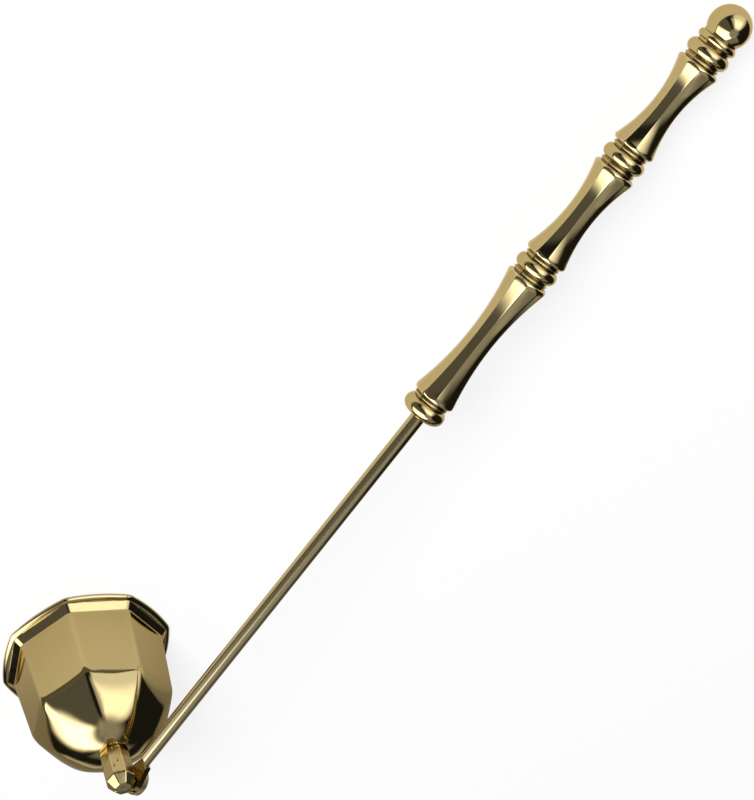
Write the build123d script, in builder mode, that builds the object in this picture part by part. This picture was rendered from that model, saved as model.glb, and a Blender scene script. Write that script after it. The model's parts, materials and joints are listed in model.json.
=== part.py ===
# Candle snuffer: an octagonal bell that tilts on a side pivot at the end of a slim stem, with a
# handle of faceted grips and turned collars stacked on the stem's tang.
# Millimetres, +Z up. The origin is the centre of the bell's mouth, which stands on z = 0.
# The stem runs towards +X, and its ball end rests on z = 0 too.
import os
from math import asin, cos, pi, sin, sqrt

from build123d import *

os.makedirs("parts", exist_ok=True)

# Clearances and the overrun of cuts
overrun = 1.0
running_clearance = 0.05
bore_clearance = 0.03
side_gap = 0.05

# Bell: half widths run from the axis to the middle of a flat side
bell_sides = 8
bell_turn = -14.2
mouth_half_width = 16.45
rim_edge = 0.3
rim_bevel = 0.35
rim_height = 1.15
rim_wall = 1.5
ledge_width = 1.25
lip_height = 2.6
lip_flare = 1.1
shoulder_height = 16.9
panel_taper = 1.05
crown_height = 26.7
crown_half_width = 2.6
dome_arc_radius = 14.5
bell_wall = 1.0
crown_wall = 1.5
crown_seat_half_width = 3.5
bell_corner_share = 0.985
rim_corner_share = 0.957

# Pivot knob: an octagonal bud on the crown, with widths across its flats
knob_sides = 8
knob_width = 5.5
knob_neck_width = 4.2
knob_tip_width = 3.2
knob_flare_height = 1.7
knob_tip_height = 1.9
pivot_rise = 5.3
knob_rise = 3.4

# Screws and washers
screw_diameter = 2.5
head_diameter = 5.2
head_edge = 0.7
head_height = 1.7
slot_width = 0.7
slot_depth = 0.7
washer_diameter = 5.4
washer_thickness = 0.4
screw_spacing = 1.05
pivot_screw_grip_share = 0.76
hole_end_room = 0.3

# Stem: distances run along it from the pivot
stem_diameter = 2.8
eye_diameter = 5.2
eye_thickness = 1.0
eye_length = 4.3
eye_bevel_length = 1.2
tang_diameter = 2.2
tang_cover = 3.0

# Collars, with a large bead between two thin rings
collar_diameter = 8.3
collar_neck_diameter = 6.4
collar_bead_thickness = 2.8
collar_ring_diameter = 7.0
collar_ring_width = 0.45
collar_groove_width = 0.2
ferrule_bead_thickness = 3.3

# Grips: waisted prisms, with their diameters across the corners
grip_sides = 10
grip_turn = 22.0
grip_rim_diameter = 8.4
grip_rim_inset = 0.75
grip_end_diameter = 6.8
grip_end_arc_radius = 0.95
grip_corner_share = 0.985
lower_grip_length = 27.8
lower_grip_waist = 5.25
middle_grip_length = 20.1
middle_grip_waist = 5.5
upper_grip_length = 18.6
upper_grip_waist = 5.3

# Finial: a ball on a neck with one thick ring
handle_start = 89.2
finial_diameter = 7.9
finial_ring_diameter = 7.6
finial_ring_width = 1.5
finial_neck_diameter = 6.6
finial_neck_width = 0.45


def bead_reach(outer_diameter, thickness, foot_diameter):
    """Half the width that a round bead has where it meets its foot."""
    foot_rise = foot_diameter / 2 - (outer_diameter / 2 - thickness / 2)
    return sqrt((thickness / 2) ** 2 - foot_rise**2)


# The bell's wall steps in from its mouth to its shoulder
lip_edge_half_width = mouth_half_width - ledge_width
lip_half_width = lip_edge_half_width - lip_flare
shoulder_half_width = lip_half_width - panel_taper

# The pivot stands over the crown, with the knob above it and the knob's own screw below it
pivot_height = crown_height + pivot_rise
knob_screw_grip = pivot_rise - screw_diameter / 2 - screw_spacing
pivot_screw_grip = pivot_screw_grip_share * knob_width

# Places along the handle
ring_space = 2 * collar_groove_width + collar_ring_width
collar_bead_half = bead_reach(collar_diameter, collar_bead_thickness, collar_neck_diameter)
ferrule_bead_half = bead_reach(collar_diameter, ferrule_bead_thickness, collar_neck_diameter)
collar_length = 2 * (ring_space + collar_bead_half)
top_collar_length = ring_space + 2 * collar_bead_half + 2 * collar_groove_width
ferrule_length = ferrule_bead_thickness / 2 + ferrule_bead_half + ring_space
lower_grip_start = handle_start + ferrule_length
lower_collar_start = lower_grip_start + lower_grip_length
middle_grip_start = lower_collar_start + collar_length
upper_collar_start = middle_grip_start + middle_grip_length
upper_grip_start = upper_collar_start + collar_length
top_collar_start = upper_grip_start + upper_grip_length
finial_start = top_collar_start + top_collar_length
finial_radius = finial_diameter / 2
finial_foot = finial_neck_diameter / 2
ball_start = finial_start + finial_ring_width + finial_neck_width
ball_centre = ball_start + sqrt(finial_radius**2 - finial_foot**2)
tang_end = ball_centre + finial_radius - tang_cover
tang_bore = tang_diameter / 2 + bore_clearance

# The eye lies beside the knob, flush with the stem's far side
eye_outer_face = knob_width / 2 + side_gap + eye_thickness
stem_offset = eye_outer_face - stem_diameter / 2
# The stem slopes down until the ball touches z = 0
stem_slope = asin((pivot_height - finial_radius) / ball_centre)
stem_way = Vector(cos(stem_slope), 0, -sin(stem_slope))
pivot_point = Vector(0, -stem_offset, pivot_height)
stem_axis = Axis(pivot_point, stem_way)
# Here x runs along the stem, and y is the distance from its axis
stem_plane = Plane(origin=pivot_point, x_dir=stem_way, z_dir=(0, -1, 0))
# Here x runs along the stem, and y across the flattened eye
stem_top_plane = Plane(origin=pivot_point, x_dir=stem_way, z_dir=stem_plane.y_dir)

# Seats of the two screws: each plane faces out of the screw's head
knob_screw_seat = Plane(
    origin=(0, 0, crown_height - crown_wall - washer_thickness), x_dir=(1, 0, 0), z_dir=(0, 0, -1)
)
knob_screw_length = washer_thickness + crown_wall + knob_screw_grip
pivot_screw_seat = Plane(
    origin=(0, -eye_outer_face - side_gap - washer_thickness, pivot_height),
    x_dir=(1, 0, 0),
    z_dir=(0, -1, 0),
)
pivot_screw_length = -pivot_screw_seat.origin.Y - knob_width / 2 + pivot_screw_grip


def save(piece, name):
    """Label a finished piece and write it under its own name."""
    piece.part.label = name
    export_step(piece.part, f"parts/{name}.step")


def upright_plane(angle):
    """A plane through the bell's axis: x points out at the angle, and y points up."""
    outward = Vector(1, 0, 0).rotate(Axis.Z, angle)
    return Plane(origin=(0, 0, 0), x_dir=outward, z_dir=outward.cross(Vector(0, 0, 1)))


def side_face(plane, wall_line, crown, arc_radius, corner_stretch=None):
    """A side view of the bell: a broken line up to the shoulder, then an arc to the crown.

    It is both halves for a pair of opposite sides, or one half, stretched out to the corners.
    """
    with BuildSketch(plane) as face:
        with BuildLine():
            Polyline((0, crown[1]), *wall_line)
            RadiusArc(wall_line[-1], crown, -arc_radius)
            Line(crown, (0, crown[1]))
        make_face()
        if corner_stretch is None:
            mirror(about=Plane.YZ)
        else:
            scale(by=(corner_stretch, 1, 1))
    return face.sketch


def cross_sides(wall_line, crown, arc_radius):
    """Cross the side view with itself in every direction, so that the walls meet in corners."""
    reach = mouth_half_width / cos(pi / bell_sides) + overrun
    for step in range(bell_sides // 2):
        plane = upright_plane(bell_turn + step * 360 / bell_sides)
        extrude(
            side_face(plane, wall_line, crown, arc_radius),
            amount=reach,
            both=True,
            mode=Mode.INTERSECT if step else Mode.ADD,
        )


def outer_wall(rim_half_width):
    """The bell's outer wall from the axis to the shoulder, with a rim of the given half width."""
    return (
        (0, 0),
        (rim_half_width - rim_edge, 0),
        (rim_half_width, rim_edge),
        (rim_half_width, rim_height - rim_bevel),
        (rim_half_width - rim_bevel, rim_height),
        (lip_edge_half_width, rim_height),
        (lip_half_width, lip_height),
        (shoulder_half_width, shoulder_height),
    )


# The wall of the bell's hollow, and the ends of both walls at the crown
outer_crown = (crown_half_width, crown_height)
hollow_wall = (
    (0, -overrun),
    (mouth_half_width - rim_wall, -overrun),
    (mouth_half_width - rim_wall, rim_edge),
    (lip_half_width - bell_wall, lip_height),
    (shoulder_half_width - bell_wall, shoulder_height),
)
hollow_crown = (crown_seat_half_width, crown_height - crown_wall)

# Bell: flat panels under an eight-sided dome, with softened corners and a rounder rim
with BuildPart() as bell_hollow:
    cross_sides(hollow_wall, hollow_crown, dome_arc_radius - bell_wall)

with BuildPart() as bell_cup:
    cross_sides(outer_wall(mouth_half_width), outer_crown, dome_arc_radius)
    soft_corners = side_face(
        upright_plane(bell_turn),
        outer_wall(mouth_half_width * rim_corner_share / bell_corner_share),
        outer_crown,
        dome_arc_radius,
        corner_stretch=bell_corner_share / cos(pi / bell_sides),
    )
    revolve(soft_corners, axis=Axis.Z, mode=Mode.INTERSECT)
    add(bell_hollow.part, mode=Mode.SUBTRACT)
    with BuildSketch(Plane.XY.offset(crown_height + overrun)):
        Circle(screw_diameter / 2 + running_clearance)
    extrude(amount=-crown_wall - 2 * overrun, mode=Mode.SUBTRACT)
save(bell_cup, "bell_cup")

# Knob: flares from its neck, and is bevelled to a small flat tip
knob_top = pivot_height + knob_rise
knob_sections = (
    (crown_height, knob_neck_width),
    (crown_height + knob_flare_height, knob_width),
    (knob_top - knob_tip_height, knob_width),
    (knob_top, knob_tip_width),
)
with BuildPart() as pivot_knob:
    for section_height, section_width in knob_sections:
        with BuildSketch(Plane.XY.offset(section_height)):
            RegularPolygon(
                section_width / 2, knob_sides, major_radius=False, rotation=180 / knob_sides
            )
    loft(ruled=True)
    with BuildSketch(Plane.XY.offset(crown_height - overrun)):
        Circle(screw_diameter / 2 + bore_clearance)
    extrude(amount=overrun + knob_screw_grip + hole_end_room, mode=Mode.SUBTRACT)
    with BuildSketch(Plane.XZ.offset(knob_width / 2 + overrun)):
        with Locations((0, pivot_height)):
            Circle(screw_diameter / 2 + bore_clearance)
    extrude(amount=-overrun - pivot_screw_grip - hole_end_room, mode=Mode.SUBTRACT)
save(pivot_knob, "pivot_knob")

# Slotted pan-head screws, whose crowns are arcs centred on the screw's axis
head_rise = head_height - head_edge
head_arc_radius = ((head_diameter / 2) ** 2 + head_rise**2) / (2 * head_rise)
screws = (
    ("knob_screw", knob_screw_seat, knob_screw_length),
    ("pivot_screw", pivot_screw_seat, pivot_screw_length),
)
for screw_name, seat_plane, screw_length in screws:
    head_section = Plane(
        origin=seat_plane.origin, x_dir=seat_plane.x_dir, z_dir=-seat_plane.y_dir
    )
    with BuildPart() as screw:
        with BuildSketch(head_section):
            with BuildLine():
                Polyline(
                    (0, head_height),
                    (0, -screw_length),
                    (screw_diameter / 2, -screw_length),
                    (screw_diameter / 2, 0),
                    (head_diameter / 2, 0),
                    (head_diameter / 2, head_edge),
                )
                RadiusArc((head_diameter / 2, head_edge), (0, head_height), -head_arc_radius)
            make_face()
        revolve(axis=Axis(seat_plane.origin, seat_plane.z_dir))
        with BuildSketch(seat_plane.offset(head_height)):
            Rectangle(head_diameter + overrun, slot_width)
        extrude(amount=-slot_depth, mode=Mode.SUBTRACT)
    save(screw, screw_name)

# Washers under the two heads
for washer_name, seat_plane in (
    ("knob_washer", knob_screw_seat),
    ("pivot_washer", pivot_screw_seat),
):
    with BuildPart() as washer:
        with BuildSketch(seat_plane):
            Circle(washer_diameter / 2)
            Circle(screw_diameter / 2 + running_clearance, mode=Mode.SUBTRACT)
        extrude(amount=-washer_thickness)
    save(washer, washer_name)

# Stem: a round rod, flattened to an eye from the knob's side, with a thin tang in the handle
with BuildPart() as stem_rod:
    with BuildSketch(stem_plane):
        with BuildLine():
            Polyline(
                (0, 0),
                (0, stem_diameter / 2),
                (handle_start, stem_diameter / 2),
                (handle_start, tang_diameter / 2),
                (tang_end, tang_diameter / 2),
                (tang_end, 0),
                close=True,
            )
        make_face()
    revolve(axis=stem_axis)
    with BuildSketch(stem_top_plane):
        with BuildLine():
            Polyline(
                (-overrun, stem_diameter),
                (-overrun, eye_thickness - stem_diameter / 2),
                (eye_length, eye_thickness - stem_diameter / 2),
                (eye_length + eye_bevel_length, stem_diameter / 2),
                (eye_length + eye_bevel_length, stem_diameter),
                close=True,
            )
        make_face()
    extrude(amount=stem_diameter, both=True, mode=Mode.SUBTRACT)
    with BuildSketch(stem_plane.offset(stem_diameter / 2)):
        Circle(eye_diameter / 2)
        with Locations((eye_length / 2, 0)):
            Rectangle(eye_length, stem_diameter)
        make_hull()
    extrude(amount=-eye_thickness)
    with BuildSketch(stem_plane):
        Circle(screw_diameter / 2 + running_clearance)
    extrude(amount=stem_diameter, both=True, mode=Mode.SUBTRACT)
save(stem_rod, "stem_rod")


def ring_line(start):
    """A groove, a thin ring and a groove, drawn along the stem from a start."""
    foot = collar_neck_diameter / 2
    ring_start = start + collar_groove_width
    ring_end = ring_start + collar_ring_width
    Line((start, foot), (ring_start, foot))
    ThreePointArc(
        (ring_start, foot),
        (ring_start + collar_ring_width / 2, collar_ring_diameter / 2),
        (ring_end, foot),
    )
    Line((ring_end, foot), (start + ring_space, foot))


# Ferrule: a bead that closes round the rod, seated on the tang's shoulder
ferrule_end = handle_start + ferrule_length
with BuildPart() as handle_ferrule:
    with BuildSketch(stem_plane):
        with BuildLine():
            bead_middle = handle_start + ferrule_bead_thickness / 2
            bead_foot = (bead_middle + ferrule_bead_half, collar_neck_diameter / 2)
            bead_bottom = (handle_start, (collar_diameter - ferrule_bead_thickness) / 2)
            Line((handle_start, tang_bore), bead_bottom)
            ThreePointArc(bead_bottom, (bead_middle, collar_diameter / 2), bead_foot)
            ring_line(bead_foot[0])
            Polyline(
                (ferrule_end, collar_neck_diameter / 2),
                (ferrule_end, tang_bore),
                (handle_start, tang_bore),
            )
        make_face()
    revolve(axis=stem_axis)
save(handle_ferrule, "handle_ferrule")

# Collars: a large bead, with a thin ring on the side of each grip
for collar_name, collar_start, whole_length in (
    ("lower_collar", lower_collar_start, collar_length),
    ("upper_collar", upper_collar_start, collar_length),
    ("top_collar", top_collar_start, top_collar_length),
):
    with BuildPart() as collar:
        with BuildSketch(stem_plane):
            with BuildLine():
                neck = collar_neck_diameter / 2
                bead_start = collar_start + ring_space
                bead_end = bead_start + 2 * collar_bead_half
                collar_end = collar_start + whole_length
                ring_line(collar_start)
                ThreePointArc(
                    (bead_start, neck),
                    (bead_start + collar_bead_half, collar_diameter / 2),
                    (bead_end, neck),
                )
                if whole_length == collar_length:
                    ring_line(bead_end)
                else:
                    Line((bead_end, neck), (collar_end, neck))
                Polyline(
                    (collar_end, neck),
                    (collar_end, tang_bore),
                    (collar_start, tang_bore),
                    (collar_start, neck),
                )
            make_face()
        revolve(axis=stem_axis)
    save(collar, collar_name)

# Grips: turned blanks with rounded rims, cut to ten hollow-ground flats
flat_share = cos(pi / grip_sides)
for grip_name, grip_start, grip_length, waist in (
    ("lower_grip", lower_grip_start, lower_grip_length, lower_grip_waist),
    ("middle_grip", middle_grip_start, middle_grip_length, middle_grip_waist),
    ("upper_grip", upper_grip_start, upper_grip_length, upper_grip_waist),
):
    grip_end = grip_start + grip_length
    first_rim = grip_start + grip_rim_inset
    last_rim = grip_end - grip_rim_inset
    middle = (grip_start + grip_end) / 2
    rim_radius = grip_rim_diameter / 2
    end_radius = grip_end_diameter / 2
    with BuildPart() as grip:
        blank_rim = rim_radius * grip_corner_share
        blank_waist = waist / 2 * grip_corner_share
        with BuildSketch(stem_plane):
            with BuildLine():
                RadiusArc((grip_start, end_radius), (first_rim, blank_rim), grip_end_arc_radius)
                ThreePointArc((first_rim, blank_rim), (middle, blank_waist), (last_rim, blank_rim))
                RadiusArc((last_rim, blank_rim), (grip_end, end_radius), grip_end_arc_radius)
                Polyline(
                    (grip_end, end_radius),
                    (grip_end, tang_bore),
                    (grip_start, tang_bore),
                    (grip_start, end_radius),
                )
            make_face()
        revolve(axis=stem_axis)
        flat_rim = rim_radius * flat_share
        flat_waist = waist / 2 * flat_share
        for step in range(grip_sides // 2):
            turn = grip_turn + step * 360 / grip_sides
            flat_plane = Plane(
                origin=pivot_point, x_dir=stem_way, z_dir=stem_plane.z_dir.rotate(stem_axis, turn)
            )
            with BuildSketch(flat_plane):
                with BuildLine():
                    Polyline((grip_start, 0), (grip_start, flat_rim), (first_rim, flat_rim))
                    ThreePointArc((first_rim, flat_rim), (middle, flat_waist), (last_rim, flat_rim))
                    Polyline((last_rim, flat_rim), (grip_end, flat_rim), (grip_end, 0), (grip_start, 0))
                make_face()
                mirror(about=Plane.XZ)
            extrude(amount=grip_rim_diameter, both=True, mode=Mode.INTERSECT)
    save(grip, grip_name)

# Finial: a ball screwed on the tang's end, which clamps the stack
with BuildPart() as finial_ball:
    with BuildSketch(stem_plane):
        with BuildLine():
            ring_end = finial_start + finial_ring_width
            ball_top = ball_centre + finial_radius
            hole_end = tang_end + hole_end_room
            ThreePointArc(
                (finial_start, finial_foot),
                (finial_start + finial_ring_width / 2, finial_ring_diameter / 2),
                (ring_end, finial_foot),
            )
            Line((ring_end, finial_foot), (ball_start, finial_foot))
            ThreePointArc((ball_start, finial_foot), (ball_centre, finial_radius), (ball_top, 0))
            Polyline(
                (ball_top, 0),
                (hole_end, 0),
                (hole_end, tang_bore),
                (finial_start, tang_bore),
                (finial_start, finial_foot),
            )
        make_face()
    revolve(axis=stem_axis)
save(finial_ball, "finial_ball")
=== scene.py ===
import json
from math import asin, atan2, cos, pi, radians, sin, sqrt, tan

import bpy
from mathutils import Euler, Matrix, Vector


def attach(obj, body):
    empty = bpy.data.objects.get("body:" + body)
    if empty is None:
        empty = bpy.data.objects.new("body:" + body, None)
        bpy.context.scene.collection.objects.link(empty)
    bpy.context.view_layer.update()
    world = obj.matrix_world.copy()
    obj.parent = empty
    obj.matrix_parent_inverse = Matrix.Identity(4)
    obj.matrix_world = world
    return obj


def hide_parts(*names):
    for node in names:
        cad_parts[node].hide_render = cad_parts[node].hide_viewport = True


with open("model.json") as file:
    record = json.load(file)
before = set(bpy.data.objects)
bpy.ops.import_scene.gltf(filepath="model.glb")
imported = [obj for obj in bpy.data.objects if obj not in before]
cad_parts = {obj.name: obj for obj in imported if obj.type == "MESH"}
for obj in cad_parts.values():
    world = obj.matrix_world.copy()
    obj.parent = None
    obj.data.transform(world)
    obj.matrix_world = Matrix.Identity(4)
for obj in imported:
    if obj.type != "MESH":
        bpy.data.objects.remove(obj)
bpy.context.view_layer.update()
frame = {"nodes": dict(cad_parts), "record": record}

nodes = frame["nodes"]
MM = 0.001


# Sizes, in millimetres, as in the part

BELL_SIDES = 8
BELL_TURN = -14.2
MOUTH_HALF = 16.45
RIM_EDGE = 0.3
RIM_HEIGHT = 1.15
RIM_WALL = 1.5
LIP_EDGE_HALF = 15.2
LIP_HEIGHT = 2.6
LIP_HALF = 14.1
SHOULDER_HEIGHT = 16.9
SHOULDER_HALF = 13.05
CROWN_HEIGHT = 26.7
CROWN_HALF = 2.6
DOME_ARC = 14.5
BELL_WALL = 1.0
CROWN_WALL = 1.5
CROWN_SEAT_HALF = 3.5
CROWN_HOLE = 1.3

KNOB_SIDES = 8
KNOB_HALF = 2.75
KNOB_NECK_HALF = 2.1
KNOB_TIP_HALF = 1.6
KNOB_FLARE = 1.7
KNOB_TIP = 1.9
KNOB_TOP = 35.4

PIVOT_HEIGHT = 32.0
STEM_OFFSET = 2.4
FINIAL_RADIUS = 3.95
GRIP_SIDES = 10
GRIP_TURN = 22.0
GRIP_RIM_RADIUS = 4.2
GRIP_INSET = 0.75
GRIP_END_RADIUS = 3.4
GRIP_BORE = 1.13
GRIP_BLANK_SHARE = 0.985
HANDLE_START = 89.2
LOWER_LENGTH = 27.8
MIDDLE_LENGTH = 20.1
UPPER_LENGTH = 18.6
GROOVE_WIDTH = 0.2
RING_WIDTH = 0.45
BEAD_DIAMETER = 8.3
BEAD_FOOT = 6.4
BEAD_THICKNESS = 2.8
FERRULE_THICKNESS = 3.3
FINIAL_BASE_LENGTH = 1.5
FINIAL_BASE_GAP = 0.45
FINIAL_FOOT_RADIUS = 3.3


def bead_reach(outer_diameter, thickness, foot_diameter):
    rise = foot_diameter / 2 - (outer_diameter / 2 - thickness / 2)
    return sqrt((thickness / 2) ** 2 - rise**2)


RING_SPACE = 2 * GROOVE_WIDTH + RING_WIDTH
COLLAR_BEAD = bead_reach(BEAD_DIAMETER, BEAD_THICKNESS, BEAD_FOOT)
COLLAR_LENGTH = 2 * (RING_SPACE + COLLAR_BEAD)
FERRULE_BEAD = bead_reach(BEAD_DIAMETER, FERRULE_THICKNESS, BEAD_FOOT)
FERRULE_LENGTH = FERRULE_THICKNESS / 2 + FERRULE_BEAD + RING_SPACE
LOWER_START = HANDLE_START + FERRULE_LENGTH
MIDDLE_START = LOWER_START + LOWER_LENGTH + COLLAR_LENGTH
UPPER_START = MIDDLE_START + MIDDLE_LENGTH + COLLAR_LENGTH
TOP_COLLAR_LENGTH = RING_SPACE + 2 * COLLAR_BEAD + 2 * GROOVE_WIDTH
BALL_START = UPPER_START + UPPER_LENGTH + TOP_COLLAR_LENGTH + FINIAL_BASE_LENGTH + FINIAL_BASE_GAP
BALL_CENTRE = BALL_START + sqrt(FINIAL_RADIUS**2 - FINIAL_FOOT_RADIUS**2)
STEM_SLOPE = asin((PIVOT_HEIGHT - FINIAL_RADIUS) / BALL_CENTRE)
STEM_WAY = Vector((cos(STEM_SLOPE), 0, -sin(STEM_SLOPE)))
PIVOT = Vector((0, -STEM_OFFSET, PIVOT_HEIGHT))


# Mesh helpers: a faceted body is a stack of rounded polygons along an axis

def rounded_polygon(sides, half, reach, across=6, round_steps=6, swell=0.0):
    """Points of a regular polygon with round corners: half width, and distance to the corners."""
    step = 2 * pi / sides
    sharp = 1 / cos(step / 2)
    rounding = (half * sharp - reach) / (sharp - 1)
    rounding = min(max(rounding, 0.0), 0.92 * half)
    corner_centre = (half - rounding) * sharp
    flat_end = (half - rounding) * tan(step / 2)
    points = []
    for side in range(sides):
        facing = side * step
        out = (cos(facing), sin(facing))
        along = (-sin(facing), cos(facing))
        for i in range(across + 1):
            shift = flat_end * (2 * i / across - 1)
            points.append((out[0] * half + along[0] * shift, out[1] * half + along[1] * shift))
        middle = facing + step / 2
        cx, cy = corner_centre * cos(middle), corner_centre * sin(middle)
        for i in range(1, round_steps):
            turn = facing + step * i / round_steps
            points.append((cx + rounding * cos(turn), cy + rounding * sin(turn)))
    swollen = []
    for x, y in points:
        scale = 1 + (half / sqrt(x * x + y * y) - 1) * swell
        swollen.append((x * scale, y * scale))
    return swollen


def soften(points, radius, steps=4):
    """Round the inner corners of a broken line of (half width, height, ...) by short arcs."""
    done = [points[0]]
    for before, at, after in zip(points, points[1:], points[2:]):
        a = Vector(before[:2]) - Vector(at[:2])
        b = Vector(after[:2]) - Vector(at[:2])
        reach = min(radius, 0.45 * a.length, 0.45 * b.length)
        if reach < 1e-4 or a.angle(b) > radians(176):
            done.append(at)
            continue
        first = Vector(at[:2]) + a.normalized() * reach
        last = Vector(at[:2]) + b.normalized() * reach
        for i in range(steps + 1):
            t = i / steps
            p = first * (1 - t) ** 2 + Vector(at[:2]) * (2 * t * (1 - t)) + last * t**2
            done.append((p.x, p.y, *at[2:]))
    done.append(points[-1])
    return done


def finish_mesh(name, verts, faces, wear_and_sheen):
    """A smooth mesh object, with a point attribute for its paler corners: wear, and a painted
    highlight.
    """
    mesh = bpy.data.meshes.new(name)
    mesh.from_pydata(verts, [], faces)
    mesh.shade_smooth()
    mesh.attributes.new("wear_and_sheen", "FLOAT", "POINT").data.foreach_set("value", wear_and_sheen)
    piece = bpy.data.objects.new(name, mesh)
    bpy.context.scene.collection.objects.link(piece)
    weighted = piece.modifiers.new("even_normals", "WEIGHTED_NORMAL")
    weighted.mode = "FACE_AREA"
    weighted.weight = 50
    return piece


def stacked_mesh(name, sides, rows, place, closed_loop, across=8, round_steps=6, swell=0.0):
    """A body from rows of (half width, height, corner reach); place() puts a point in the frame."""
    verts, faces, wear_and_sheen = [], [], []
    count = 0
    for half, height, reach in rows:
        ring = rounded_polygon(sides, half, reach, across, round_steps, swell)
        count = len(ring)
        verts += [place(x, y, height) * MM for x, y in ring]
        # Corner points get the pale edge tone: wear, and a painted highlight
        wear_and_sheen += [1.0 if i % (across + round_steps) > across else 0.0 for i in range(count)]
    total = len(rows)
    spans = range(total) if closed_loop else range(total - 1)
    for r in spans:
        low, high = r * count, ((r + 1) % total) * count
        for i in range(count):
            j = (i + 1) % count
            faces.append((low + i, low + j, high + j, high + i))
    if not closed_loop:
        faces.append(tuple(reversed(range(count))))
        faces.append(tuple(range((total - 1) * count, total * count)))
    return finish_mesh(name, verts, faces, wear_and_sheen)


def arc_points(start, end, radius, steps, bulge=1):
    """Points of an arc between two points; a positive bulge swells to the right of its way."""
    a, b = Vector(start), Vector(end)
    chord = b - a
    out = Vector((chord.y, -chord.x)).normalized() * bulge
    centre = (a + b) / 2 - out * sqrt(radius**2 - (chord.length / 2) ** 2)
    first = atan2(a.y - centre.y, a.x - centre.x)
    last = atan2(b.y - centre.y, b.x - centre.x)
    turn = (last - first + pi) % (2 * pi) - pi
    points = []
    for i in range(steps + 1):
        angle = first + turn * i / steps
        points.append((centre.x + radius * cos(angle), centre.y + radius * sin(angle)))
    return points


# Bell: flat panels under a dome of slightly swollen facets, which meet in a zigzag crease

CORNER8 = pi / BELL_SIDES
SHARP8 = 1 / cos(CORNER8)
# Angles of the columns from the middle of a side, closer together at the corner
HALF_DEGREES = (0, 4, 8, 12, 15, 17.5, 19.2, 20.2, 20.8, 21.3, 21.7, 22.1, 22.5)
HALF_TURNS = [radians(d) for d in HALF_DEGREES]
SIDE_TURNS = [-t for t in reversed(HALF_TURNS[1:-1])] + HALF_TURNS
RIM_ROUNDING = 2.0
LIP_ROUNDING = 1.7
PANEL_ROUNDING = 1.1
HOLLOW_ROUNDING = 0.6
RIM_SOFT = 0.16
LIP_SOFT = 0.2
RIM_SWELL = 0.5
PANEL_SWELL = 0.04
CREASE_SWELL = 0.13
DOME_ROUNDING = 2.9
CROWN_SWELL = 0.68
SWELL_RISE = 5.5
CREASE_SOFT = 0.12
PANEL_START = 3.0
PANEL_SHARES = (0, 0.2, 0.4, 0.6, 0.8, 0.94, 1)
DOME_STEPS = 30
# Where the panel corners start to get the pale edge tone: wear, and a painted highlight
SHEEN_START = 17.5
SHEEN_WIDTH = 5.0
dome_way = Vector((CROWN_HALF - SHOULDER_HALF, CROWN_HEIGHT - SHOULDER_HEIGHT))
dome_in = Vector((-dome_way.y, dome_way.x)).normalized()
dome_drop = sqrt(DOME_ARC**2 - (dome_way.length / 2) ** 2)
dome_centre = Vector((SHOULDER_HALF, SHOULDER_HEIGHT)) + dome_way / 2 + dome_in * dome_drop
DOME_END = asin((CROWN_HEIGHT - dome_centre.y) / DOME_ARC)


def side_reach(half, rounding, turn, swell=0.0):
    """Distance from the axis to the wall, at an angle from the middle of a side."""
    rounding = min(rounding, 0.7 * half)
    turn = abs(turn)
    corner_middle = (half - rounding) * SHARP8
    if turn <= atan2((half - rounding) * tan(CORNER8), half):
        reach = half / cos(turn)
    else:
        off = CORNER8 - turn
        aside = corner_middle * sin(off)
        reach = corner_middle * cos(off) + sqrt(max(rounding**2 - aside**2, 0))
    return reach + (half - reach) * swell


def panel_reach(turn, z):
    share = (z - LIP_HEIGHT) / (SHOULDER_HEIGHT - LIP_HEIGHT)
    half = LIP_HALF + (SHOULDER_HALF - LIP_HALF) * share
    return side_reach(half, PANEL_ROUNDING, turn, PANEL_SWELL)


def dome_reach(turn, z):
    half = dome_centre.x + sqrt(max(DOME_ARC**2 - (z - dome_centre.y) ** 2, 0))
    share = min(max((z - SHOULDER_HEIGHT) / SWELL_RISE, 0), 1)
    share = share * share * (3 - 2 * share)
    swell = CREASE_SWELL + (CROWN_SWELL - CREASE_SWELL) * share
    return side_reach(half, DOME_ROUNDING, turn, swell)


def crease_height(turn):
    """Where the panel's flat runs into the dome's swell."""
    low, high = dome_centre.y, SHOULDER_HEIGHT + 0.5
    for _ in range(30):
        middle = (low + high) / 2
        if panel_reach(turn, middle) < dome_reach(turn, middle):
            low = middle
        else:
            high = middle
    return low


def bell_column(turn):
    """One line up the wall and back down the hollow: points of (reach, height)."""
    rim = [
        (side_reach(h, RIM_ROUNDING, turn, RIM_SWELL), z)
        for h, z in soften(mouth_line, RIM_SOFT)
    ]
    lip = [(side_reach(h, LIP_ROUNDING, turn), z) for h, z in soften(lip_line, LIP_SOFT)[:-1]]
    crease = crease_height(turn)
    below, above = crease - CREASE_SOFT, crease + CREASE_SOFT
    wall = []
    for share in PANEL_SHARES:
        z = PANEL_START + (below - PANEL_START) * share
        wall.append((panel_reach(turn, z), z))
    tip = Vector((panel_reach(turn, crease), crease))
    panel_end = Vector((panel_reach(turn, below), below))
    dome_start = Vector((dome_reach(turn, above), above))
    edge = (panel_end + tip * 2 + dome_start) / 4
    first = asin((above - dome_centre.y) / DOME_ARC)
    dome = []
    for i in range(DOME_STEPS + 1):
        z = dome_centre.y + DOME_ARC * sin(first + (DOME_END - first) * i / DOME_STEPS)
        dome.append((dome_reach(turn, z), z))
    hole = [(CROWN_HOLE, CROWN_HEIGHT), (CROWN_HOLE, CROWN_HEIGHT - CROWN_WALL)]
    hollow = [(side_reach(h, HOLLOW_ROUNDING, turn), z) for h, z in inner_line]
    return rim + lip + wall + [tuple(edge)] + dome + hole + hollow, len(rim) + len(lip), len(wall)


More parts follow.
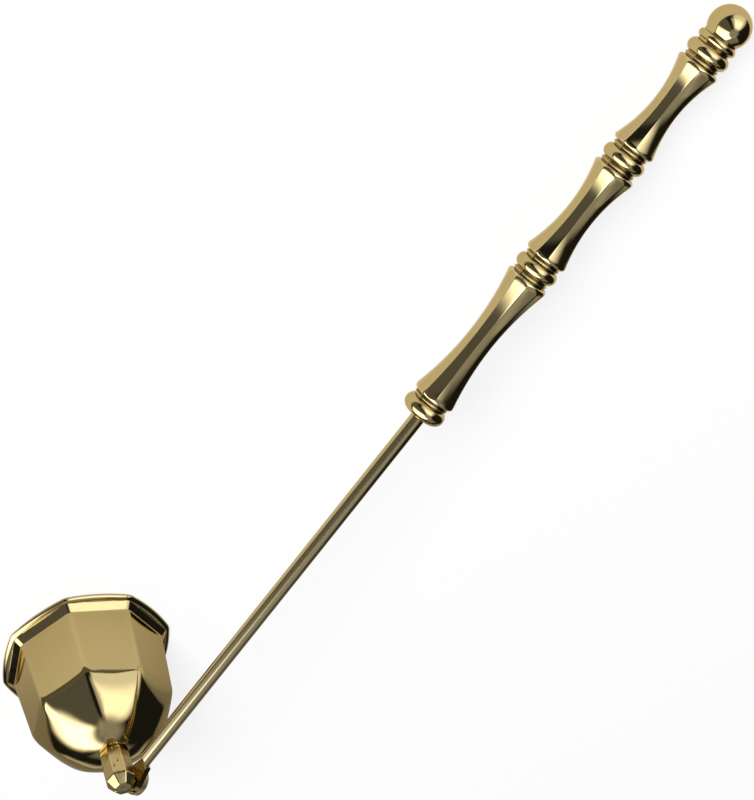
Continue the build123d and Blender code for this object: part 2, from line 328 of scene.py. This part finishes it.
BEAD_START = 0.45
BEAD_STEPS = 10
BEAD_TURN = radians(84)
bead_inside = LIP_EDGE_HALF + 0.1
rim_bead = []
for i in range(BEAD_STEPS + 1):
    round_turn = BEAD_TURN * i / BEAD_STEPS
    rim_bead.append((
        bead_inside + (MOUTH_HALF - bead_inside) * cos(round_turn),
        BEAD_START + (RIM_HEIGHT - BEAD_START) * sin(round_turn),
    ))
mouth_line = [
    (MOUTH_HALF - RIM_WALL + 0.2, 0),
    (MOUTH_HALF - RIM_EDGE, 0),
    (MOUTH_HALF - 0.02, RIM_EDGE),
] + rim_bead
lip_line = [
    (LIP_EDGE_HALF, RIM_HEIGHT + 0.03),
    (LIP_EDGE_HALF - 0.03, RIM_HEIGHT + 0.1),
    (LIP_HALF, LIP_HEIGHT),
    (LIP_HALF - 0.03, PANEL_START),
]
inner_dome = arc_points(
    (CROWN_SEAT_HALF, CROWN_HEIGHT - CROWN_WALL),
    (SHOULDER_HALF - BELL_WALL, SHOULDER_HEIGHT),
    DOME_ARC - BELL_WALL,
    18,
    bulge=-1,
)
inner_line = inner_dome + [
    (LIP_HALF - BELL_WALL, LIP_HEIGHT),
    (MOUTH_HALF - RIM_WALL, RIM_EDGE),
    (MOUTH_HALF - RIM_WALL, 0.15),
]


def build_bell():
    verts, faces, wear_and_sheen = [], [], []
    for side in range(BELL_SIDES):
        for turn in SIDE_TURNS:
            angle = radians(BELL_TURN) + side * 2 * CORNER8 + turn
            column, wall_start, wall_rows = bell_column(turn)
            # Corners of the panel walls get the pale edge tone: wear, and a painted highlight
            past = (abs(turn) - radians(SHEEN_START)) / radians(SHEEN_WIDTH)
            corner = min(max(past, 0), 1) ** 2
            for row, (reach, z) in enumerate(column):
                verts.append((reach * cos(angle) * MM, reach * sin(angle) * MM, z * MM))
                on_wall = wall_start - 3 <= row < wall_start + wall_rows
                wear_and_sheen.append(corner if on_wall else 0.0)
    rows = len(column)
    columns = len(verts) // rows
    for c in range(columns):
        here, there = c * rows, (c + 1) % columns * rows
        for r in range(rows):
            up = (r + 1) % rows
            faces.append((here + r, there + r, there + up, here + up))
    return finish_mesh("bell_shell", verts, faces, wear_and_sheen)


bell = build_bell()
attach(bell, "bell")
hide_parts("bell_cup")

# Knob: an eight-sided bud with rounded edges, paler at the corners as wear and as a painted
# highlight

knob_line = [
    (KNOB_NECK_HALF + 0.4, CROWN_HEIGHT),
    (KNOB_NECK_HALF + 0.46, CROWN_HEIGHT + 0.15),
    (KNOB_HALF, CROWN_HEIGHT + KNOB_FLARE - 0.9),
    (KNOB_HALF, KNOB_TOP - KNOB_TIP),
    (KNOB_TIP_HALF, KNOB_TOP),
    (KNOB_TIP_HALF * 0.4, KNOB_TOP + 0.02),
]
KNOB_SOFT = 0.3
KNOB_CORNER_SHARE = 0.86
KNOB_REACH = KNOB_CORNER_SHARE * SHARP8 + 1 - KNOB_CORNER_SHARE
knob_rows = [(h, z, h * KNOB_REACH) for h, z in soften(knob_line, KNOB_SOFT)]
knob = stacked_mesh("knob_bud", KNOB_SIDES, knob_rows, lambda x, y, z: Vector((x, y, z)), False)
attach(knob, "bell")
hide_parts("pivot_knob")

# Grips: turned blanks with ten hollow-ground flats

stem_up = Vector((sin(STEM_SLOPE), 0, cos(STEM_SLOPE)))
stem_side = Vector((0, -1, 0))
SHARP10 = 1 / cos(pi / GRIP_SIDES)
GRIP_STEPS = 40
GRIP_END_ARC = 0.95
GRIP_END_STEPS = 8
GRIP_CORNER_SHARE = 0.993
GRIP_SWELL = 0.3


def grip_place(x, y, s):
    turn = radians(GRIP_TURN)
    u = x * cos(turn) - y * sin(turn)
    v = x * sin(turn) + y * cos(turn)
    return PIVOT + STEM_WAY * s + stem_up * u + stem_side * v


def circle_through(rim, waist, half_length):
    """Radius of the arc that falls from the rim to the waist over half a length."""
    sag = rim - waist
    return (half_length**2 + sag**2) / (2 * sag)


def grip_rows(start, length, waist_diameter):
    first, last = start + GRIP_INSET, start + length - GRIP_INSET
    middle, half_length = (first + last) / 2, (last - first) / 2
    flat_rim, flat_waist = GRIP_RIM_RADIUS / SHARP10, waist_diameter / 2 / SHARP10
    arc = circle_through(flat_rim, flat_waist, half_length)
    blank_rim = GRIP_RIM_RADIUS * GRIP_BLANK_SHARE
    end_arc = arc_points(
        (start, GRIP_END_RADIUS), (first, blank_rim), GRIP_END_ARC, GRIP_END_STEPS, bulge=-1
    )
    rows = [(GRIP_BORE, start, GRIP_BORE)]
    for s, r in end_arc:
        rows.append((min(r, flat_rim), s, max(r, min(r, flat_rim))))
    for i in range(1, GRIP_STEPS):
        s = first + (last - first) * i / GRIP_STEPS
        h = flat_waist + arc - sqrt(arc**2 - (s - middle) ** 2)
        rows.append((h, s, h * SHARP10 * GRIP_CORNER_SHARE))
    for s, r in reversed(end_arc):
        rows.append((min(r, flat_rim), start + length - (s - start), max(r, min(r, flat_rim))))
    rows.append((GRIP_BORE, start + length, GRIP_BORE))
    return rows


for grip_name, node, start, length, waist in (
    ("grip_lower_facets", "lower_grip", LOWER_START, LOWER_LENGTH, 5.25),
    ("grip_middle_facets", "middle_grip", MIDDLE_START, MIDDLE_LENGTH, 5.5),
    ("grip_upper_facets", "upper_grip", UPPER_START, UPPER_LENGTH, 5.3),
):
    rows = grip_rows(start, length, waist)
    grip = stacked_mesh(grip_name, GRIP_SIDES, rows, grip_place, True, swell=GRIP_SWELL)
    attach(grip, "handle")
    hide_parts(node)


# Node helpers: each makes one node in a tree and gives its output

def fill(tree, socket, value):
    """Link a socket to a value that is an output, or else set it."""
    if isinstance(value, bpy.types.NodeSocket):
        tree.links.new(value, socket)
    else:
        socket.default_value = value


def math_node(tree, operation, *values):
    node = tree.nodes.new("ShaderNodeMath")
    node.operation = operation
    for socket, value in zip(node.inputs, values):
        fill(tree, socket, value)
    return node.outputs[0]


def map_range(tree, value, span, result=(0.0, 1.0), smooth=False):
    node = tree.nodes.new("ShaderNodeMapRange")
    if smooth:
        node.interpolation_type = "SMOOTHSTEP"
    node.inputs["From Min"].default_value, node.inputs["From Max"].default_value = span
    node.inputs["To Min"].default_value, node.inputs["To Max"].default_value = result
    tree.links.new(value, node.inputs["Value"])
    return node.outputs["Result"]


def noise(tree, vector, scale, detail):
    node = tree.nodes.new("ShaderNodeTexNoise")
    node.inputs["Scale"].default_value = scale
    node.inputs["Detail"].default_value = detail
    tree.links.new(vector, node.inputs["Vector"])
    return node.outputs["Fac"]


def mix_colour(tree, factor, first, second):
    node = tree.nodes.new("ShaderNodeMix")
    node.data_type = "RGBA"
    tree.links.new(factor, node.inputs["Factor"])
    fill(tree, node.inputs["A"], first)
    fill(tree, node.inputs["B"], second)
    return node.outputs["Result"]


def relief(tree, height, strength, distance, under=None):
    """A bump node, on top of another one's normal if that is given."""
    node = tree.nodes.new("ShaderNodeBump")
    node.inputs["Strength"].default_value = strength
    node.inputs["Distance"].default_value = distance
    tree.links.new(height, node.inputs["Height"])
    if under:
        tree.links.new(under, node.inputs["Normal"])
    return node.outputs["Normal"]


def mix_shader(tree, factor, first, second):
    node = tree.nodes.new("ShaderNodeMixShader")
    tree.links.new(factor, node.inputs["Fac"])
    tree.links.new(first, node.inputs[1])
    tree.links.new(second, node.inputs[2])
    return node.outputs[0]


# Materials; lengths in metres

# Pale edge tone: wear, and a painted highlight along the corners
SHEEN_PALE = (0.8, 0.68, 0.4, 1)
SPECULAR_TINT = (0.8, 0.68, 0.45, 1)
COAT_WEIGHT = 0.3
COAT_ROUGHNESS = 0.04
DRIFT_SCALE = 120.0
DRIFT_SHARES = (0.93, 0.9, 0.82)
CREVICE_SAMPLES = 16
LINE_SCALE = 900.0
LINE_DEPTH = 0.00002
HAZE_SCALE = 260.0
HAZE_SHARE = 1.9
PIT_SCALE = 650.0
PIT_DEPTH = 0.00012
WAVE_SCALE = 420.0
WAVE_DEPTH = 0.0002


def brass(
    name, colour, shade_colour, roughness,
    grain=(1, 1, 1), grain_strength=0.25, pits=0.0, recess=0.0004, sheen_share=0.35,
):
    """Polished brass: drifting tone, painted shade darkening the recesses, pale corners as wear and
    a painted highlight, haze, fine polishing lines and small pits.
    """
    mat = bpy.data.materials.new(name)
    mat.use_nodes = True
    tree = mat.node_tree
    make, link = tree.nodes.new, tree.links.new
    shader = tree.nodes["Principled BSDF"]
    shader.inputs["Metallic"].default_value = 1.0
    shader.inputs["Specular Tint"].default_value = SPECULAR_TINT
    shader.inputs["Coat Weight"].default_value = COAT_WEIGHT
    shader.inputs["Coat Roughness"].default_value = COAT_ROUGHNESS
    spot = make("ShaderNodeTexCoord").outputs["Object"]

    drift = noise(tree, spot, DRIFT_SCALE, 4.0)
    duller = [c * share for c, share in zip(colour, DRIFT_SHARES)]
    tone = mix_colour(tree, drift, (*colour, 1), (*duller, 1))
    # Painted shade: where ambient occlusion finds a recess, the colour darkens towards the dark
    # shade colour
    shade = make("ShaderNodeAmbientOcclusion")
    shade.samples = CREVICE_SAMPLES
    shade.inputs["Distance"].default_value = recess
    occluded = map_range(tree, shade.outputs["AO"], (0.25, 0.8), (1.0, 0.0))
    recess_shaded = mix_colour(tree, occluded, tone, (*shade_colour, 1))
    # Pale corners: wear, and a painted highlight along the edges
    edge = make("ShaderNodeAttribute")
    edge.attribute_name = "wear_and_sheen"
    patchy = map_range(tree, drift, (0.25, 0.6), (0.5 * sheen_share, sheen_share))
    pale_edge = math_node(tree, "MULTIPLY", edge.outputs["Fac"], patchy)
    link(mix_colour(tree, pale_edge, recess_shaded, SHEEN_PALE), shader.inputs["Base Color"])

    stretch = make("ShaderNodeMapping")
    stretch.vector_type = "TEXTURE"
    stretch.inputs["Rotation"].default_value = (0, STEM_SLOPE, 0)
    stretch.inputs["Scale"].default_value = grain
    link(spot, stretch.inputs["Vector"])
    along = stretch.outputs["Vector"]
    haze = noise(tree, along, HAZE_SCALE, 3.0)
    gloss = map_range(tree, haze, (0.3, 0.75), (roughness, roughness * HAZE_SHARE))
    link(gloss, shader.inputs["Roughness"])

    surface = relief(tree, noise(tree, along, LINE_SCALE, 2.0), grain_strength, LINE_DEPTH)
    if pits:
        cells = make("ShaderNodeTexVoronoi")
        cells.inputs["Scale"].default_value = PIT_SCALE
        link(spot, cells.inputs["Vector"])
        pit = map_range(tree, cells.outputs["Distance"], (0.05, 0.22))
        surface = relief(tree, pit, pits, PIT_DEPTH, surface)
        surface = relief(tree, noise(tree, spot, WAVE_SCALE, 1.0), pits, WAVE_DEPTH, surface)
    link(surface, shader.inputs["Normal"])
    return mat


BRASS = (0.485, 0.365, 0.15)
# The dark brown that the painted shade in recesses reaches
SHADE_BROWN = (0.07, 0.042, 0.012)
bell_brass = brass("bell_brass_polished", BRASS, SHADE_BROWN, 0.05, recess=0.0008, sheen_share=0.12)
knob_brass = brass("knob_brass_cast", (0.47, 0.345, 0.135), SHADE_BROWN, 0.14, pits=0.5)
stem_brass = brass(
    "stem_brass_drawn", (0.49, 0.38, 0.18), SHADE_BROWN, 0.09, grain=(60, 1, 1), recess=0.0002
)
grip_brass = brass("grip_brass_ground", BRASS, SHADE_BROWN, 0.07, grain=(20, 1, 1), grain_strength=0.4)
collar_brass = brass("collar_brass_turned", BRASS, SHADE_BROWN, 0.06, grain=(1, 20, 20), grain_strength=0.3)
screw_brass = brass("screw_brass_turned", (0.5, 0.38, 0.17), SHADE_BROWN, 0.3, pits=0.2, recess=0.0002)

finishes = {
    "bell_brass": bell_brass,
    "knob_brass": knob_brass,
    "stem_brass": stem_brass,
    "grip_brass": grip_brass,
    "collar_brass": collar_brass,
    "screw_brass": screw_brass,
}
bell.data.materials.append(bell_brass)
knob.data.materials.append(knob_brass)
for name in ("grip_lower_facets", "grip_middle_facets", "grip_upper_facets"):
    bpy.data.objects[name].data.materials.append(grip_brass)
for entry in frame["record"]["subparts"]:
    node = nodes[entry["node"]]
    node.data.materials.clear()
    node.data.materials.append(finishes[entry["material_slot"]])


# Stage: a white floor, a white world, and a studio tent with soft light panels

STAGE_CENTRE = Vector((0.08, 0, 0))
FLOOR_SIZE = 12
FLOOR_TONE = (0.9, 0.9, 0.9, 1)
FLOOR_REFLECTED = 0.25
FLOOR_BACK = (0.72, 0.69, 0)
WORLD_LEVEL = 0.4


def ray_share(tree):
    """One for rays from the camera, and for those that metal or glass reflects or passes."""
    path = tree.nodes.new("ShaderNodeLightPath").outputs
    either = math_node(tree, "MAXIMUM", path["Is Camera Ray"], path["Is Glossy Ray"])
    return math_node(tree, "MAXIMUM", either, path["Is Transmission Ray"])


def floor_material():
    """White paper that glows a little to the camera, so that only its shadows show."""
    mat = bpy.data.materials.new("stage_white")
    mat.use_nodes = True
    tree = mat.node_tree
    make, link = tree.nodes.new, tree.links.new
    paper = tree.nodes["Principled BSDF"]
    paper.inputs["Base Color"].default_value = FLOOR_TONE
    paper.inputs["Roughness"].default_value = 0.9
    paper.inputs["Specular IOR Level"].default_value = 0.0
    glow = make("ShaderNodeEmission")
    glow.inputs["Strength"].default_value = 1.0
    path = make("ShaderNodeLightPath").outputs
    spot = make("ShaderNodeNewGeometry").outputs["Position"]
    away = make("ShaderNodeVectorMath")
    away.operation = "LENGTH"
    link(spot, away.inputs[0])
    fade = map_range(tree, away.outputs["Value"], (0.3, 1.0), (0.55, 0.75), smooth=True)
    reflected = math_node(tree, "MULTIPLY", ray_share(tree), FLOOR_REFLECTED)
    share = math_node(tree, "MULTIPLY_ADD", path["Is Camera Ray"], fade, reflected)
    lit_floor = mix_shader(tree, share, paper.outputs[0], glow.outputs[0])

    # Painted shade: as metal reflects it, the floor is painted darker behind the bell, and in front
    # of it past y 32 to 75 mm
    dark = make("ShaderNodeEmission")
    dark.inputs["Strength"].default_value = 0.0
    toward = make("ShaderNodeVectorMath")
    toward.operation = "DOT_PRODUCT"
    toward.inputs[1].default_value = FLOOR_BACK
    link(spot, toward.inputs[0])
    behind = map_range(tree, toward.outputs["Value"], (-0.03, 0.035), (0.64, 0.0), smooth=True)
    split = make("ShaderNodeSeparateXYZ")
    link(spot, split.inputs[0])
    before = map_range(tree, split.outputs["Y"], (0.032, 0.075), (0.0, 0.85), smooth=True)
    painted_darkness = math_node(tree, "MAXIMUM", behind, before)
    seen = math_node(tree, "MULTIPLY", path["Is Glossy Ray"], painted_darkness)
    shaded = mix_shader(tree, seen, lit_floor, dark.outputs[0])
    link(shaded, tree.nodes["Material Output"].inputs["Surface"])
    return mat


bpy.ops.mesh.primitive_plane_add(size=FLOOR_SIZE, location=STAGE_CENTRE)
floor = bpy.context.object
floor.name = "stage_floor"
floor.data.materials.append(floor_material())

world = bpy.data.worlds.new("studio")
bpy.context.scene.world = world
world.use_nodes = True
world_tree = world.node_tree
dim = world_tree.nodes["Background"]
dim.inputs["Color"].default_value = (1, 1, 1, 1)
dim.inputs["Strength"].default_value = WORLD_LEVEL
white = world_tree.nodes.new("ShaderNodeBackground")
white.inputs["Color"].default_value = (1, 1, 1, 1)
white.inputs["Strength"].default_value = 1.0
sky = mix_shader(world_tree, ray_share(world_tree), dim.outputs[0], white.outputs[0])
world_tree.links.new(sky, world_tree.nodes["World Output"].inputs["Surface"])

# Light panels in the tent: azimuths and elevations that each spans, its soft edges across and up,
# its level, and how far its far edge leans out as it rises
TENT_RADIUS = 3.0
TENT_DARK = 0.02
PANEL_WHITE = (0.92, 1.0, 1.2, 1)
panels = (
    (-14, 33, 26, 66, 9, 13, 1.4, 0),
    (-27, 33, -8, 66, 9, 9, 1.5, 0),
    (28, 49, 14, 66, 3, 8, 0.75, 0),
    (116, 154, -6, 65, 9, 6, 3.4, 0.7),
    (116, 154, 20, 65, 9, 9, 1.3, 0.7),
    (-172, -106, -10, 9, 5, 5, 0.8, 0),
    (67, 117, -5, 78, 5, 7, 0.15, 0),
    (-165, -104, 33, 75, 5, 7, 0.32, 0),
    (-180, 180, 70, 95, 8, 8, 0.5, 0),
)


def heading(azimuth, elevation):
    a, e = radians(azimuth), radians(elevation)
    return Vector((cos(e) * cos(a), cos(e) * sin(a), sin(e)))


def soft_span(tree, value, half, soft, widen=0.0):
    """One inside a half width, falling softly to zero outside it; widen moves its far edge out."""
    off = math_node(tree, "ABSOLUTE", math_node(tree, "SUBTRACT", value, widen))
    off = math_node(tree, "SUBTRACT", off, widen)
    return map_range(tree, off, (half + soft, half - soft), smooth=True)


def tent_material():
    mat = bpy.data.materials.new("stage_tent_cloth")
    mat.use_nodes = True
    tree = mat.node_tree
    make, link = tree.nodes.new, tree.links.new
    tree.nodes.clear()
    unit = make("ShaderNodeVectorMath")
    unit.operation = "NORMALIZE"
    link(make("ShaderNodeTexCoord").outputs["Object"], unit.inputs[0])
    split = make("ShaderNodeSeparateXYZ")
    link(unit.outputs[0], split.inputs[0])
    azimuth = math_node(tree, "ARCTAN2", split.outputs["Y"], split.outputs["X"])
    elevation = math_node(tree, "ARCSINE", split.outputs["Z"])
    light = TENT_DARK
    for west, east, low, high, soft_across, soft_up, level, lean in panels:
        off = math_node(tree, "SUBTRACT", azimuth, radians((west + east) / 2))
        around = math_node(tree, "WRAP", off, pi, -pi)
        up = math_node(tree, "SUBTRACT", elevation, radians((low + high) / 2))
        widen = math_node(tree, "MULTIPLY", elevation, lean / 2) if lean else 0.0
        across = soft_span(tree, around, radians((east - west) / 2), radians(soft_across), widen)
        tall = soft_span(tree, up, radians((high - low) / 2), radians(soft_up))
        panel = math_node(tree, "MULTIPLY", math_node(tree, "MULTIPLY", across, tall), level)
        light = math_node(tree, "ADD", panel, light)
    lit = make("ShaderNodeEmission")
    lit.inputs["Color"].default_value = PANEL_WHITE
    link(light, lit.inputs["Strength"])
    link(lit.outputs[0], make("ShaderNodeOutputMaterial").inputs["Surface"])
    return mat


bpy.ops.mesh.primitive_uv_sphere_add(
    segments=64, ring_count=32, radius=TENT_RADIUS, location=STAGE_CENTRE
)
tent = bpy.context.object
tent.name = "stage_tent"
tent.visible_camera = False
tent.visible_diffuse = False
tent.visible_shadow = False
tent.data.materials.append(tent_material())

KEY_HEADING = (72, 38)
KEY_DISTANCE = 1.2
key = bpy.data.lights.new("key_softbox", "AREA")
key.shape = "RECTANGLE"
key.size, key.size_y = 0.5, 0.4
key.energy = 18.0
key_object = bpy.data.objects.new("key_softbox", key)
key_object.location = STAGE_CENTRE + heading(*KEY_HEADING) * KEY_DISTANCE
key_way = STAGE_CENTRE - key_object.location
key_object.rotation_euler = key_way.to_track_quat("-Z", "Y").to_euler()
key_object.visible_glossy = False
bpy.context.scene.collection.objects.link(key_object)

# Camera, at the photograph's place
lens = bpy.data.cameras.new("photo_camera")
lens.lens = 102.01
lens.sensor_width = 36.0
lens.clip_start = 0.01
camera = bpy.data.objects.new("photo_camera", lens)
camera.location = (0.219494, 0.254225, 0.305732)
camera.rotation_euler = Euler((radians(-41.5391), radians(-16.8033), radians(-46.3261)))
bpy.context.scene.collection.objects.link(camera)
bpy.context.scene.camera = camera
bpy.context.scene.view_settings.view_transform = "Standard"

bpy.context.view_layer.update()
